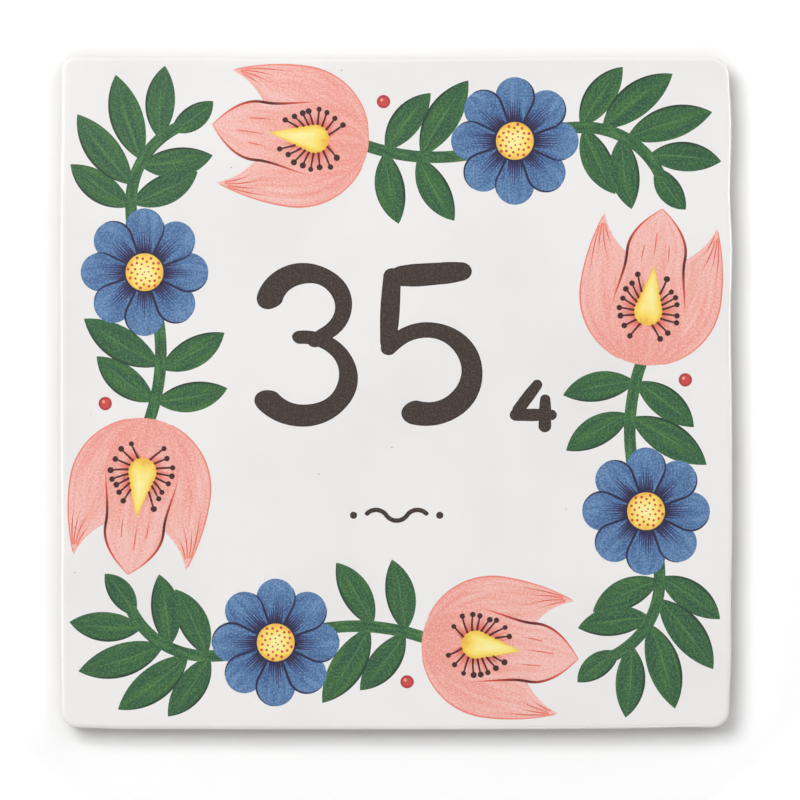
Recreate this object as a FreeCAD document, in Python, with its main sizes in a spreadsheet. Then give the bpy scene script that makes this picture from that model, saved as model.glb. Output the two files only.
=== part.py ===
import FreeCAD, Part
import math
import os
import Sketcher

# House number plaque: a square wall tile of pressed clay with a white glaze, seen as it hangs.
# +Z is up, the printed front faces -Y, and the origin is the middle of the flat back.
# The printed border is held as thin fields of colour that lie on the front face.
# One side of the border is drawn, and turned to the other three sides in quarter turns.

SIZES = {
    # The tile: its corner-to-corner sizes, and how far each side bows out past them.
    "tile_width": 148.6,
    "tile_height": 149.5,
    "tile_depth": 8.0,
    "top_bow": -0.5,
    "right_bow": 0.8,
    "bottom_bow": 0.5,
    "left_bow": 0.45,
    "top_left_corner": 2.7,
    "top_right_corner": 4.5,
    "bottom_right_corner": 3.7,
    "bottom_left_corner": 3.3,
    "edge_roll": 1.1,
    "back_bevel": 0.5,
    # The pressed key in the back, which the adhesive grips: square cells between ribs.
    "key_rim": 8.0,
    "key_cell": 17.5,
    "key_rib": 4.0,
    "key_sink": 0.8,
    "key_draft": 15.0,
    # The printed border as a whole.
    "print_film": 0.05,
    "print_margin": 1.8,
    "border_width": 31.0,
    # The vine: where its daisy stands from the corner and its tulip from the daisy, and its arcs.
    "daisy_from_corner": 30.4,
    "tulip_to_daisy": 32.6,
    "tulip_drop": 2.4,
    "daisy_drop": 1.2,
    "vine_sag": 3.0,
    "vine_width": 2.6,
    "hump_radius": 38.0,
    "hump_span": 16.6,
    "spray_radius": 18.5,
    "spray_turn": 60.0,
    # The three leaf sizes, and how much each leaf curves to one side.
    "long_leaf_length": 20.0,
    "long_leaf_width": 7.4,
    "mid_leaf_length": 16.4,
    "mid_leaf_width": 6.6,
    "short_leaf_length": 11.5,
    "short_leaf_width": 5.4,
    "leaf_bend": 0.5,
    # The tulip, seen from the side, and the drop at its heart.
    "tulip_height": 35.0,
    "tulip_width": 31.4,
    "tulip_belly": 15.7,
    "tulip_tilt": 8.0,
    "side_tip_height": 32.4,
    "side_tip_spread": 25.2,
    "notch_height": 24.4,
    "notch_spread": 13.0,
    "notch_hollow": 0.9,
    "tip_bulge": 1.6,
    "heart_height": 12.0,
    "heart_radius": 3.2,
    "heart_length": 10.4,
    # The daisy, seen from the front.
    "daisy_radius": 14.2,
    "petal_tip_radius": 4.3,
    "daisy_centre_radius": 4.2,
    # The berries.
    "berry_radius": 1.5,
}
DAISY_PETALS = 8
BORDER_SIDES = 4

doc = FreeCAD.newDocument("house_number_tile")
sheet = doc.addObject("Spreadsheet::Sheet", "Sizes")
for row, (alias, value) in enumerate(SIZES.items(), start=1):
    sheet.set(f"A{row}", alias)
    sheet.set(f"B{row}", str(value))
    sheet.setAlias(f"B{row}", alias)
doc.recompute()


def size(alias):
    return float(sheet.get(alias))


def new_body(label):
    body = doc.addObject("PartDesign::Body", label)
    body.Label = label
    body.AllowCompound = True
    return body


def origin_feature(body, role):
    return next(f for f in body.Origin.OriginFeatures if f.Role == role)


def front_sketch(body, name, place=(0, 0), turn=0.0, level=None):
    """A sketch that faces the viewer, its x along +X and its y along +Z, at a level in front of the back."""
    sketch = body.newObject("Sketcher::SketchObject", name)
    sketch.AttachmentSupport = [(origin_feature(body, "XZ_Plane"), "")]
    sketch.MapMode = "FlatFace"
    sketch.AttachmentOffset = FreeCAD.Placement(
        FreeCAD.Vector(place[0], place[1], 0),
        FreeCAD.Rotation(FreeCAD.Vector(0, 0, 1), turn),
    )
    if level:
        sketch.setExpression("AttachmentOffset.Base.z", level)
    return sketch


def add_pad(body, sketch, name, length):
    pad = body.newObject("PartDesign::Pad", name)
    pad.Profile = sketch
    pad.setExpression("Length", length)
    body.Tip = pad
    doc.recompute()
    return pad


def vector(point):
    return FreeCAD.Vector(point[0], point[1], 0)


def arc_between(start, end, sagitta):
    """An arc from start to end that stands off their chord by sagitta, to the left of the way there."""
    middle = (vector(start) + vector(end)) / 2
    along = (vector(end) - vector(start)).normalize()
    left = FreeCAD.Vector(-along.y, along.x, 0)
    return Part.Arc(vector(start), middle + left * sagitta, vector(end))


def end_at(sketch, geo, point):
    """Which end of a curve of the sketch lies at the point: 1 is its start and 2 its end."""
    near_start = (sketch.getPoint(geo, 1) - vector(point)).Length
    near_end = (sketch.getPoint(geo, 2) - vector(point)).Length
    return 1 if near_start < near_end else 2


def join(sketch, first, second, point):
    ends = (first, end_at(sketch, first, point), second, end_at(sketch, second, point))
    sketch.addConstraint(Sketcher.Constraint("Coincident", *ends))


def pin(sketch, geo, point, across, up):
    """Holds the end of a curve that lies at point to two distances from the sketch's origin."""
    end = end_at(sketch, geo, point)
    for kind, value, rule in (("DistanceX", point[0], across), ("DistanceY", point[1], up)):
        number = sketch.addConstraint(Sketcher.Constraint(kind, -1, 1, geo, end, value))
        if rule:
            sketch.setExpression(f"Constraints[{number}]", rule)


def close_chain(sketch, curves, points):
    """Adds curves that follow one another round a closed outline, and joins them at their ends."""
    geos = [sketch.addGeometry(curve, False) for curve in curves]
    for i, point in enumerate(points):
        join(sketch, geos[i - 1], geos[i], point)
    return geos


def turn_to_all_sides(body):
    """Repeats the whole print of one side at the other sides of the tile."""
    pattern = body.newObject("PartDesign::PolarPattern", body.Label + "_sides")
    pattern.TransformMode = "Whole shape"
    pattern.Axis = (origin_feature(body, "Y_Axis"), [""])
    pattern.Angle = 360
    pattern.Occurrences = BORDER_SIDES
    body.Tip = pattern
    doc.recompute()


# The tile is pressed clay: a bowed square with four unlike corners, because the edge is dressed by hand.
tile = new_body("tile")
outline = front_sketch(tile, "tile_outline")
half_width = size("tile_width") / 2
half_height = size("tile_height") / 2
corners = [
    (-half_width, half_height),
    (half_width, half_height),
    (half_width, -half_height),
    (-half_width, -half_height),
]
side_bows = [size(name) for name in ("top_bow", "right_bow", "bottom_bow", "left_bow")]
sides = [
    arc_between(corners[i], corners[(i + 1) % 4], bow)
    for i, bow in enumerate(side_bows)
]
side_geos = close_chain(outline, sides, corners)
for geo, (x, z) in zip(side_geos, corners):
    across = "Sizes.tile_width / 2" if x > 0 else "-Sizes.tile_width / 2"
    up = "Sizes.tile_height / 2" if z > 0 else "-Sizes.tile_height / 2"
    pin(outline, geo, (x, z), across, up)
middles = [
    ((0, half_height + side_bows[0]), None, "Sizes.tile_height / 2 + Sizes.top_bow"),
    ((half_width + side_bows[1], 0), "Sizes.tile_width / 2 + Sizes.right_bow", None),
    ((0, -half_height - side_bows[2]), None, "-Sizes.tile_height / 2 - Sizes.bottom_bow"),
    ((-half_width - side_bows[3], 0), "-Sizes.tile_width / 2 - Sizes.left_bow", None),
]
for geo, (point, across, up) in zip(side_geos, middles):
    mark = outline.addGeometry(Part.Point(vector(point)), True)
    pin(outline, mark, point, across, up)
    outline.addConstraint(Sketcher.Constraint("PointOnObject", mark, 1, geo))
slab = add_pad(tile, outline, "slab", "Sizes.tile_depth")


def edges_where(feature, wanted):
    return [f"Edge{i}" for i, edge in enumerate(feature.Shape.Edges, start=1) if wanted(edge)]


def lies_at(level):
    return lambda edge: all(abs(vertex.Point.y - level) < 1e-6 for vertex in edge.Vertexes)


def upright_in(quarter):
    """Picks the edge through the tile's thickness in one quarter of its face."""

    def wanted(edge):
        ends = [vertex.Point for vertex in edge.Vertexes]
        through = abs(ends[0].y - ends[-1].y) > size("tile_depth") / 2
        return through and ends[0].x * quarter[0] > 0 and ends[0].z * quarter[1] > 0

    return wanted


rounded = slab
quarters = {
    "top_left_corner": (-1, 1),
    "top_right_corner": (1, 1),
    "bottom_right_corner": (1, -1),
    "bottom_left_corner": (-1, -1),
}
for name, quarter in quarters.items():
    fillet = tile.newObject("PartDesign::Fillet", name)
    fillet.Base = (rounded, edges_where(rounded, upright_in(quarter)))
    fillet.setExpression("Radius", f"Sizes.{name}")
    tile.Tip = fillet
    doc.recompute()
    rounded = fillet

# The front edge is rolled over, so that the glaze runs round it without a break.
roll = tile.newObject("PartDesign::Fillet", "edge_roll")
roll.Base = (rounded, edges_where(rounded, lies_at(-size("tile_depth"))))
roll.setExpression("Radius", "Sizes.edge_roll")
tile.Tip = roll
doc.recompute()
bevel = tile.newObject("PartDesign::Chamfer", "back_bevel")
bevel.Base = (roll, edges_where(roll, lies_at(0)))
bevel.setExpression("Size", "Sizes.back_bevel")
tile.Tip = bevel
doc.recompute()

# The key is a square grid of shallow cells, an even number each way, so that a rib crosses the middle.
key_count = (
    "2 * floor((min(Sizes.tile_width; Sizes.tile_height) - 2 * Sizes.key_rim + Sizes.key_rib)"
    " / (Sizes.key_cell + Sizes.key_rib) / 2)"
)
key_pitch = "(Sizes.key_cell + Sizes.key_rib)"
cell_sketch = front_sketch(tile, "key_cell_outline")
cell_side = size("key_cell")
cell_corners = [(0, 0), (cell_side, 0), (cell_side, cell_side), (0, cell_side)]
cell_lines = [
    Part.LineSegment(vector(cell_corners[i]), vector(cell_corners[(i + 1) % 4]))
    for i in range(4)
]
cell_geos = close_chain(cell_sketch, cell_lines, cell_corners)
for geo, kind in zip(cell_geos, ("Horizontal", "Vertical", "Horizontal", "Vertical")):
    cell_sketch.addConstraint(Sketcher.Constraint(kind, geo))
for geo in cell_geos[:2]:
    number = cell_sketch.addConstraint(Sketcher.Constraint("Distance", geo, cell_side))
    cell_sketch.setExpression(f"Constraints[{number}]", "Sizes.key_cell")
first_corner = f"-{key_count} / 2 * {key_pitch} + Sizes.key_rib / 2"
pin(cell_sketch, cell_geos[0], (0, 0), first_corner, first_corner)
cell = tile.newObject("PartDesign::Pocket", "key_cell")
cell.Profile = cell_sketch
cell.setExpression("Length", "Sizes.key_sink")
cell.setExpression("TaperAngle", "-Sizes.key_draft")
cell.Reversed = True
tile.Tip = cell
doc.recompute()
if cell.Shape.Volume >= bevel.Shape.Volume:
    raise RuntimeError("the key cell cuts nothing")
key = tile.newObject("PartDesign::MultiTransform", "key")
key.Originals = [cell]
rows = []
for name, axis in (("key_across", "H_Axis"), ("key_up", "V_Axis")):
    run = tile.newObject("PartDesign::LinearPattern", name)
    run.Direction = (cell_sketch, [axis])
    run.Mode = "Spacing"
    run.setExpression("Offset", key_pitch)
    run.setExpression("Occurrences", key_count)
    rows.append(run)
key.Transformations = rows
tile.Tip = key
doc.recompute()


# The vine of one side: where its flowers stand, and the arcs of its stem, each tangent to the next.
def arc_piece(start, heading, radius, sweep):
    """A tangent arc from start: its centre, radius, first angle and sweep. A positive sweep turns left."""
    side = 1 if sweep > 0 else -1
    across = start[0] - side * radius * math.sin(heading)
    up = start[1] + side * radius * math.cos(heading)
    return (across, up), radius, heading - side * math.pi / 2, sweep


def on_piece(piece, share, aside=0.0):
    """A point a share of the way along an arc and set aside to its left, and the heading there."""
    centre, radius, first, sweep = piece
    side = 1 if sweep > 0 else -1
    angle = first + sweep * share
    reach = radius - side * aside
    point = (centre[0] + reach * math.cos(angle), centre[1] + reach * math.sin(angle))
    return point, angle + side * math.pi / 2


border_line = (
    min(size("tile_width"), size("tile_height")) / 2
    - size("print_margin")
    - size("border_width") / 2
)
daisy_middle = (border_line - size("daisy_from_corner"), border_line - size("daisy_drop"))
tulip_base = (daisy_middle[0] - size("tulip_to_daisy"), border_line - size("tulip_drop"))
gap_chord = vector(daisy_middle) - vector(tulip_base)
gap_half_turn = 2 * math.atan2(2 * size("vine_sag"), gap_chord.Length)
gap_radius = gap_chord.Length / 2 / math.sin(gap_half_turn)
gap_heading = math.atan2(gap_chord.y, gap_chord.x) - gap_half_turn
gap_vine = arc_piece(tulip_base, gap_heading, gap_radius, 2 * gap_half_turn)
hump_vine = arc_piece(
    daisy_middle,
    on_piece(gap_vine, 1)[1],
    size("hump_radius"),
    -2 * math.asin(size("hump_span") / 2 / size("hump_radius")),
)
spray_vine = arc_piece(
    *on_piece(hump_vine, 1),
    size("spray_radius"),
    -math.radians(size("spray_turn")),
)
print_level = "Sizes.tile_depth"


def add_leaf(sketch, root, heading, kind, bend_side):
    """A pointed leaf between two arcs, the one on its outer side fuller than the other."""
    length = size(kind + "_length")
    tip = (root[0] + length * math.cos(heading), root[1] + length * math.sin(heading))
    middle_line = sketch.addGeometry(Part.LineSegment(vector(root), vector(tip)), True)
    pin(sketch, middle_line, root, None, None)
    number = sketch.addConstraint(Sketcher.Constraint("Distance", middle_line, length))
    sketch.setExpression(f"Constraints[{number}]", f"Sizes.{kind}_length")
    sketch.addConstraint(Sketcher.Constraint("Angle", middle_line, heading))
    for side in (1, -1):
        sign = "+" if side == bend_side else "-"
        bulge = f"(Sizes.{kind}_width / 2 {sign} Sizes.leaf_bend)"
        fullness = size(kind + "_width") / 2 + side * bend_side * size("leaf_bend")
        edge = sketch.addGeometry(arc_between(root, tip, side * fullness), False)
        join(sketch, edge, middle_line, root)
        join(sketch, edge, middle_line, tip)
        radius = (length**2 / 4 + fullness**2) / (2 * fullness)
        number = sketch.addConstraint(Sketcher.Constraint("Radius", edge, radius))
        rule = f"(Sizes.{kind}_length ^ 2 / 4 + {bulge} ^ 2) / (2 * {bulge})"
        sketch.setExpression(f"Constraints[{number}]", rule)


def add_stem(sketch, stretches):
    """A stem of even width along tangent arcs, each a (piece, from share, to share), with round ends."""
    half = size("vine_width") / 2
    left = []
    right = []
    for piece, start, end in stretches:
        shares = (start, (start + end) / 2, end)
        left.append([on_piece(piece, share, half)[0] for share in shares])
        right.append([on_piece(piece, share, -half)[0] for share in reversed(shares)])
    first, last = stretches[0], stretches[-1]
    foot, foot_heading = on_piece(first[0], first[1])
    head, head_heading = on_piece(last[0], last[2])
    heel = (foot[0] - half * math.cos(foot_heading), foot[1] - half * math.sin(foot_heading))
    nose = (head[0] + half * math.cos(head_heading), head[1] + half * math.sin(head_heading))
    loop = [
        *left,
        [left[-1][-1], nose, right[-1][0]],
        *reversed(right),
        [right[0][-1], heel, left[0][0]],
    ]
    curves = [Part.Arc(*[vector(point) for point in points]) for points in loop]
    close_chain(sketch, curves, [points[0] for points in loop])


def share_of(piece, distance):
    return distance / (piece[1] * abs(piece[3]))


# The leaves on either side of the vine: the arc, the share of the way along it, the angle that the
# leaf spreads from the stem, and its size.
OUTER_LEAVES = [
    (gap_vine, 0.12, 66, "mid_leaf"),
    (gap_vine, 0.36, 62, "long_leaf"),
    (hump_vine, 0.90, 55, "mid_leaf"),
    (spray_vine, 0.16, 50, "long_leaf"),
    (spray_vine, 0.46, 47, "long_leaf"),
    (spray_vine, 0.78, 45, "mid_leaf"),
]
INNER_LEAVES = [
    (gap_vine, 0.12, 66, "mid_leaf"),
    (gap_vine, 0.34, 56, "mid_leaf"),
    (hump_vine, 0.94, 64, "mid_leaf"),
    (spray_vine, 0.40, 56, "mid_leaf"),
    (spray_vine, 0.94, -4, "short_leaf"),
]
leaves = new_body("leaves")
# Neighbours overlap, so every second leaf of a side is drawn apart from those between.
LEAF_ROWS = [
    ("outer_leaves", 1, OUTER_LEAVES[::2]),
    ("outer_leaves_between", 1, OUTER_LEAVES[1::2]),
    ("inner_leaves", -1, INNER_LEAVES[::2]),
    ("inner_leaves_between", -1, INNER_LEAVES[1::2]),
]
for name, side, places in LEAF_ROWS:
    sketch = front_sketch(leaves, name + "_outline", level=print_level)
    for piece, share, spread, kind in places:
        root, heading = on_piece(piece, share)
        add_leaf(sketch, root, heading + side * math.radians(spread), kind, side)
    add_pad(leaves, sketch, name, "Sizes.print_film")
# Each stem ends under the petals of the daisy, halfway between its centre and its rim.
under_petals = (size("daisy_centre_radius") + size("daisy_radius")) / 2
stem_sketch = front_sketch(leaves, "stem_outline", level=print_level)
add_stem(stem_sketch, [(gap_vine, 0, 1 - share_of(gap_vine, under_petals))])
add_stem(stem_sketch, [(hump_vine, share_of(hump_vine, under_petals), 1), (spray_vine, 0, 1)])
add_pad(leaves, stem_sketch, "stems", "Sizes.print_film")
turn_to_all_sides(leaves)


def drop_outline(sketch):
    """The drop at the tulip's heart: round towards the stem and pointed towards the petals' tips."""
    middle = (size("heart_height"), 0)
    radius = size("heart_radius")
    point = (middle[0] + size("heart_length"), 0)
    lean = math.acos(radius / size("heart_length"))
    upper = (middle[0] + radius * math.cos(lean), radius * math.sin(lean))
    lower = (upper[0], -upper[1])
    foot = (middle[0] - radius, 0)
    curves = [
        Part.Arc(vector(upper), vector(foot), vector(lower)),
        Part.LineSegment(vector(lower), vector(point)),
        Part.LineSegment(vector(point), vector(upper)),
    ]
    close_chain(sketch, curves, [upper, lower, point])


def sagitta(start, end, radius):
    chord = math.dist(start, end)
    return radius - math.sqrt(radius**2 - chord**2 / 4)


# The cup, from its base round one side to the middle tip, lies along the sketch's x. The bottom and
# the flank are arcs that run into each other at the belly, where the cup is widest.
tulip_turn = math.degrees(math.pi) - size("tulip_tilt")
belly = size("tulip_belly")
half_tulip = size("tulip_width") / 2
side_tip = (size("side_tip_height"), -size("side_tip_spread") / 2)
notch = (size("notch_height"), -size("notch_spread") / 2)
lower_half = [(0, 0), (belly, -half_tulip), side_tip, notch, (size("tulip_height"), 0)]
flank_height = side_tip[0] - belly
flank_lean = half_tulip + side_tip[1]
bottom_radius = (belly**2 + half_tulip**2) / (2 * half_tulip)
flank_radius = (flank_height**2 + flank_lean**2) / (2 * flank_lean)
lower_bulges = [
    -sagitta(lower_half[0], lower_half[1], bottom_radius),
    -sagitta(lower_half[1], lower_half[2], flank_radius),
    size("notch_hollow"),
    -size("tip_bulge"),
]
upper_half = [(x, -y) for x, y in lower_half[::-1]]
cup_points = lower_half[:-1] + upper_half[:-1]
cup_bulges = lower_bulges + lower_bulges[::-1]
tulips = new_body("tulips")
cup_sketch = front_sketch(tulips, "tulip_outline", tulip_base, tulip_turn, print_level)
cup = [
    arc_between(point, cup_points[(i + 1) % len(cup_points)], cup_bulges[i])
    for i, point in enumerate(cup_points)
]
close_chain(cup_sketch, cup, cup_points)
add_pad(tulips, cup_sketch, "tulip_cup", "Sizes.print_film")
turn_to_all_sides(tulips)

daisies = new_body("daisies")
petal_sketch = front_sketch(daisies, "petal_outline", daisy_middle, 0.0, print_level)
tip_radius = size("petal_tip_radius")
tip_centre = size("daisy_radius") - tip_radius
lean = math.acos(tip_radius / tip_centre)
upper = (tip_centre - tip_radius * math.cos(lean), tip_radius * math.sin(lean))
lower = (upper[0], -upper[1])
petal_curves = [
    Part.LineSegment(vector((0, 0)), vector(lower)),
    Part.Arc(vector(lower), vector((size("daisy_radius"), 0)), vector(upper)),
    Part.LineSegment(vector(upper), vector((0, 0))),
]
close_chain(petal_sketch, petal_curves, [(0, 0), lower, upper])
petal = add_pad(daisies, petal_sketch, "petal", "Sizes.print_film")
petals = daisies.newObject("PartDesign::PolarPattern", "petals")
petals.Originals = [petal]
petals.Axis = (petal_sketch, ["N_Axis"])
petals.Angle = 360
petals.Occurrences = DAISY_PETALS
daisies.Tip = petals
doc.recompute()
turn_to_all_sides(daisies)

# The yellow at the middle of each flower: a disc in the daisy and the drop in the tulip.
centres = new_body("centre_print")
disc_sketch = front_sketch(centres, "daisy_centre_outline", daisy_middle, 0.0, print_level)
circle = Part.Circle(vector((0, 0)), FreeCAD.Vector(0, 0, 1), size("daisy_centre_radius"))
disc = disc_sketch.addGeometry(circle, False)
disc_sketch.addConstraint(Sketcher.Constraint("Coincident", disc, 3, -1, 1))
number = disc_sketch.addConstraint(Sketcher.Constraint("Radius", disc, size("daisy_centre_radius")))
disc_sketch.setExpression(f"Constraints[{number}]", "Sizes.daisy_centre_radius")
add_pad(centres, disc_sketch, "daisy_centre", "Sizes.print_film")
heart_sketch = front_sketch(centres, "tulip_heart_outline", tulip_base, tulip_turn, print_level)
drop_outline(heart_sketch)
add_pad(centres, heart_sketch, "tulip_heart", "Sizes.print_film")
turn_to_all_sides(centres)

# One berry stands beside the vine on each side: the arc, the share of the way along it and the
# distance to its left.
BERRIES = [
    (gap_vine, 0.0, 10.5),
]
berries = new_body("berries")
berry_sketch = front_sketch(berries, "berry_outline", level=print_level)
for piece, share, aside in BERRIES:
    point, _ = on_piece(piece, share, aside)
    circle = Part.Circle(vector(point), FreeCAD.Vector(0, 0, 1), size("berry_radius"))
    dot = berry_sketch.addGeometry(circle, False)
    number = berry_sketch.addConstraint(Sketcher.Constraint("Radius", dot, size("berry_radius")))
    berry_sketch.setExpression(f"Constraints[{number}]", "Sizes.berry_radius")
add_pad(berries, berry_sketch, "berry", "Sizes.print_film")
turn_to_all_sides(berries)

# The colours lie side by side on the glaze: yellow is printed whole, and each colour after it is left
# out where one before it lies, so that the flowers stand over the leaves.
COLOURS = [
    ("tulip_print", tulips),
    ("daisy_print", daisies),
    ("berry_print", berries),
    ("leaf_print", leaves),
]
printed = [centres]
for label, fields in COLOURS:
    before = doc.addObject("Part::Compound", "colours_before_" + label)
    before.Links = list(printed)
    colour = doc.addObject("Part::Cut", label)
    colour.Label = label
    colour.Base = fields
    colour.Tool = before
    printed.append(colour)
doc.recompute()

NODES = [tile, *printed]
for item in doc.Objects:
    if "Invalid" in item.State or "Error" in item.State:
        raise RuntimeError(f"{item.Label} did not build: {item.State}")
for node in NODES:
    if node.Shape.isNull() or not node.Shape.isValid():
        raise RuntimeError(f"{node.Label} has no valid shape")
os.makedirs("parts", exist_ok=True)
for node in NODES:
    node.Shape.exportStep(f"parts/{node.Label}.step")
    print(node.Label, len(node.Shape.Solids), "solids", round(node.Shape.Volume, 3), "mm3")
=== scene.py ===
import math
import random

import bmesh
import bpy
from mathutils import Matrix, Vector


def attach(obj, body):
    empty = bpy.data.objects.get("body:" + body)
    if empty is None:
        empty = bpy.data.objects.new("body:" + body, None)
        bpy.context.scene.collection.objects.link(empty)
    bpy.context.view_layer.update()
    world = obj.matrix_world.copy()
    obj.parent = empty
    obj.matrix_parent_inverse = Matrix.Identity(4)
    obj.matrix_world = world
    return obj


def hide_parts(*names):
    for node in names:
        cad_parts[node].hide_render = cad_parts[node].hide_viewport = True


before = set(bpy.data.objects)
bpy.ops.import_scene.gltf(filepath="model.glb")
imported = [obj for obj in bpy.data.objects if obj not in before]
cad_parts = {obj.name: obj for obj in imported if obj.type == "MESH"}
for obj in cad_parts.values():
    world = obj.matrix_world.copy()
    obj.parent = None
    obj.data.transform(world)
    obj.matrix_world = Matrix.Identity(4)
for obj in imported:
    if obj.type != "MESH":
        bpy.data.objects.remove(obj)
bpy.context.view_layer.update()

# The tile: white earthenware pressed in a mould, its outline a little uneven where the edge was
# dressed by hand. Glaze was poured over the face and ran down the sides. The back is bare biscuit
# with a pressed key of shallow square cells, which the adhesive grips.
TILE_WIDTH, TILE_HEIGHT, TILE_DEPTH = 148.6, 149.5, 8.0
LEFT_BOW, RIGHT_BOW, BOTTOM_BOW, TOP_BOW = 0.43, 0.8, 0.475, -0.5
CORNER_RADII = {(-1, 1): 2.7, (1, 1): 4.5, (1, -1): 3.7, (-1, -1): 3.3}
EDGE_ROLL, BACK_BEVEL, SHARP_FROM = 1.1, 0.5, 40
KEY_ROWS, KEY_CELL, KEY_RIB, KEY_SINK, KEY_DRAFT, KEY_RIM_ROUND = 6, 17.5, 4.0, 0.8, 15, 0.25
GLAZE_WHITE, GLAZE_SHADE, PINHOLE_GREY = "#EFEDEC", "#E9E7E5", "#B4ADA6"
BISCUIT_PALE, BISCUIT_WARM = "#E3D6C4", "#D5C3AC"
GLAZE_ROUGHNESS, GLAZE_IOR, BISCUIT_ROUGHNESS = 0.2, 1.45, 0.85


def paint(hex_value):
    """The linear colour of an sRGB hex value."""
    parts = [int(hex_value[i : i + 2], 16) / 255 for i in (1, 3, 5)]
    return (*[c / 12.92 if c <= 0.04045 else ((c + 0.055) / 1.055) ** 2.4 for c in parts], 1.0)


def add(tree, kind, sockets=None, stops=None, **settings):
    """Adds a shader node with its settings, and fills its sockets with values or with links."""
    made = tree.nodes.new("ShaderNode" + kind)
    for name, value in settings.items():
        setattr(made, name, value)
    for socket, value in (sockets or {}).items():
        if isinstance(value, bpy.types.NodeSocket):
            tree.links.new(value, made.inputs[socket])
        else:
            made.inputs[socket].default_value = value
    if stops:
        ramp = made.color_ramp.elements
        while len(ramp) < len(stops):
            ramp.new(0.5)
        for element, (place, hex_value) in zip(ramp, stops):
            element.position = place
            element.color = paint(hex_value)
    return made


def blend(tree, share, base, over):
    """A colour that goes from base to over with the share."""
    return add(tree, "Mix", {0: share, 6: base, 7: over}, data_type="RGBA").outputs[2]


def glaze_over(name):
    """A colour fired under clear glaze: glossy, level to the eye, with the faint swell and pitting
    that poured glaze has. Gives the material, its tree, the shader and the place on the object."""
    material = bpy.data.materials.new(name)
    material.use_nodes = True
    tree = material.node_tree
    shader = tree.nodes["Principled BSDF"]
    shader.inputs["Roughness"].default_value = GLAZE_ROUGHNESS
    shader.inputs["IOR"].default_value = GLAZE_IOR
    place = add(tree, "TexCoord").outputs["Object"]
    # The swell is 22 mm from crest to crest, and the orange peel on it 1.4 mm.
    swell = add(tree, "TexNoise", {"Vector": place, "Scale": 1 / 0.022, "Detail": 1.0})
    peel = add(tree, "TexNoise", {"Vector": place, "Scale": 1 / 0.0014, "Detail": 2.0})
    slow = add(tree, "Bump", {"Height": swell.outputs["Fac"], "Distance": 0.00005, "Strength": 1.0})
    fine = add(tree, "Bump", {
        "Height": peel.outputs["Fac"],
        "Distance": 0.000002,
        "Strength": 1.0,
        "Normal": slow.outputs["Normal"],
    })
    tree.links.new(fine.outputs["Normal"], shader.inputs["Normal"])
    return material, tree, shader, place


def object_from(mesh_kit, name, material, unit=0.001):
    """Turns what was modelled in millimetres, or in another unit, into an object at the origin."""
    mesh = bpy.data.meshes.new(name)
    mesh_kit.to_mesh(mesh)
    mesh_kit.free()
    mesh.transform(Matrix.Scale(unit, 4))
    mesh.materials.append(material)
    piece = bpy.data.objects.new(name, mesh)
    bpy.context.scene.collection.objects.link(piece)
    return piece


def round_off(edges, offset, segments):
    bmesh.ops.bevel(
        slab, geom=edges, offset=offset, segments=segments, profile=0.5, affect="EDGES", material=-1
    )


def cut_across(places):
    """Cuts the slab both ways at each place, so that it has edges there to sink or to bend."""
    for place in places:
        for way in (Vector((1, 0, 0)), Vector((0, 0, 1))):
            everything = slab.verts[:] + slab.edges[:] + slab.faces[:]
            bmesh.ops.bisect_plane(slab, geom=everything, plane_co=way * place, plane_no=way)


slab = bmesh.new()
block = Matrix.Translation((0, -TILE_DEPTH / 2, 0)) @ Matrix.Diagonal(
    (TILE_WIDTH, TILE_DEPTH, TILE_HEIGHT, 1)
)
bmesh.ops.create_cube(slab, size=1, matrix=block)
for (across, up), radius in CORNER_RADII.items():
    corner = [
        edge
        for edge in slab.edges
        if all(v.co.x * across > 0 and v.co.z * up > 0 for v in edge.verts)
        and edge.calc_length() > TILE_DEPTH / 2
    ]
    round_off(corner, radius, 10)
for level, offset, segments in ((-TILE_DEPTH, EDGE_ROLL, 8), (0, BACK_BEVEL, 2)):
    rim = [edge for edge in slab.edges if all(abs(v.co.y - level) < 1e-4 for v in edge.verts)]
    round_off(rim, offset, segments)
key_pitch = KEY_CELL + KEY_RIB
cell_edges = [
    KEY_RIB / 2 + key_pitch * (row - KEY_ROWS // 2) + along
    for row in range(KEY_ROWS)
    for along in (0, KEY_CELL)
]
cut_across(cell_edges)
KEY_REACH = max(cell_edges)
cells = [
    face
    for face in slab.faces
    if face.normal.y > 0.99
    and all(
        abs(place) < KEY_REACH and KEY_RIB / 2 < abs(place) % key_pitch < KEY_RIB / 2 + KEY_CELL
        for place in (face.calc_center_median().x, face.calc_center_median().z)
    )
]
bmesh.ops.inset_individual(
    slab, faces=cells, thickness=KEY_SINK * math.tan(math.radians(KEY_DRAFT)), depth=-KEY_SINK
)
cell_rims = list({edge for face in cells for edge in face.edges})
round_off(cell_rims, KEY_RIM_ROUND, 2)
# The hand that dressed the edge strayed from the bow by up to 0.3 mm: places along each side, and
# how far it strayed outwards there.
RIGHT_STRAY = (
    (-71, 0.0), (-59, 0.2), (-45, 0.0), (-32, 0.12), (-19, 0.0),
    (17, -0.28), (32, 0.12), (43, -0.22), (60, 0.3), (71, 0.0),
)
LEFT_STRAY = (
    (-71, 0.0), (-46, 0.0), (-33, -0.2), (-19, -0.1), (17, -0.06),
    (26, 0.03), (43, 0.03), (60, -0.1), (71, 0.0),
)
TOP_STRAY = (
    (-71, 0.0), (-44, 0.18), (-22, -0.06), (0, 0.0), (22, 0.12),
    (45, 0.26), (58, 0.08), (67, -0.1), (71, 0.0),
)
BOTTOM_STRAY = (
    (-71, 0.0), (-62, 0.2), (-40, 0.08), (0, 0.0), (48, 0.02), (65, -0.15), (71, 0.0),
)
STRAY_STEP, STRAY_REACH = 4, 72


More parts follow.
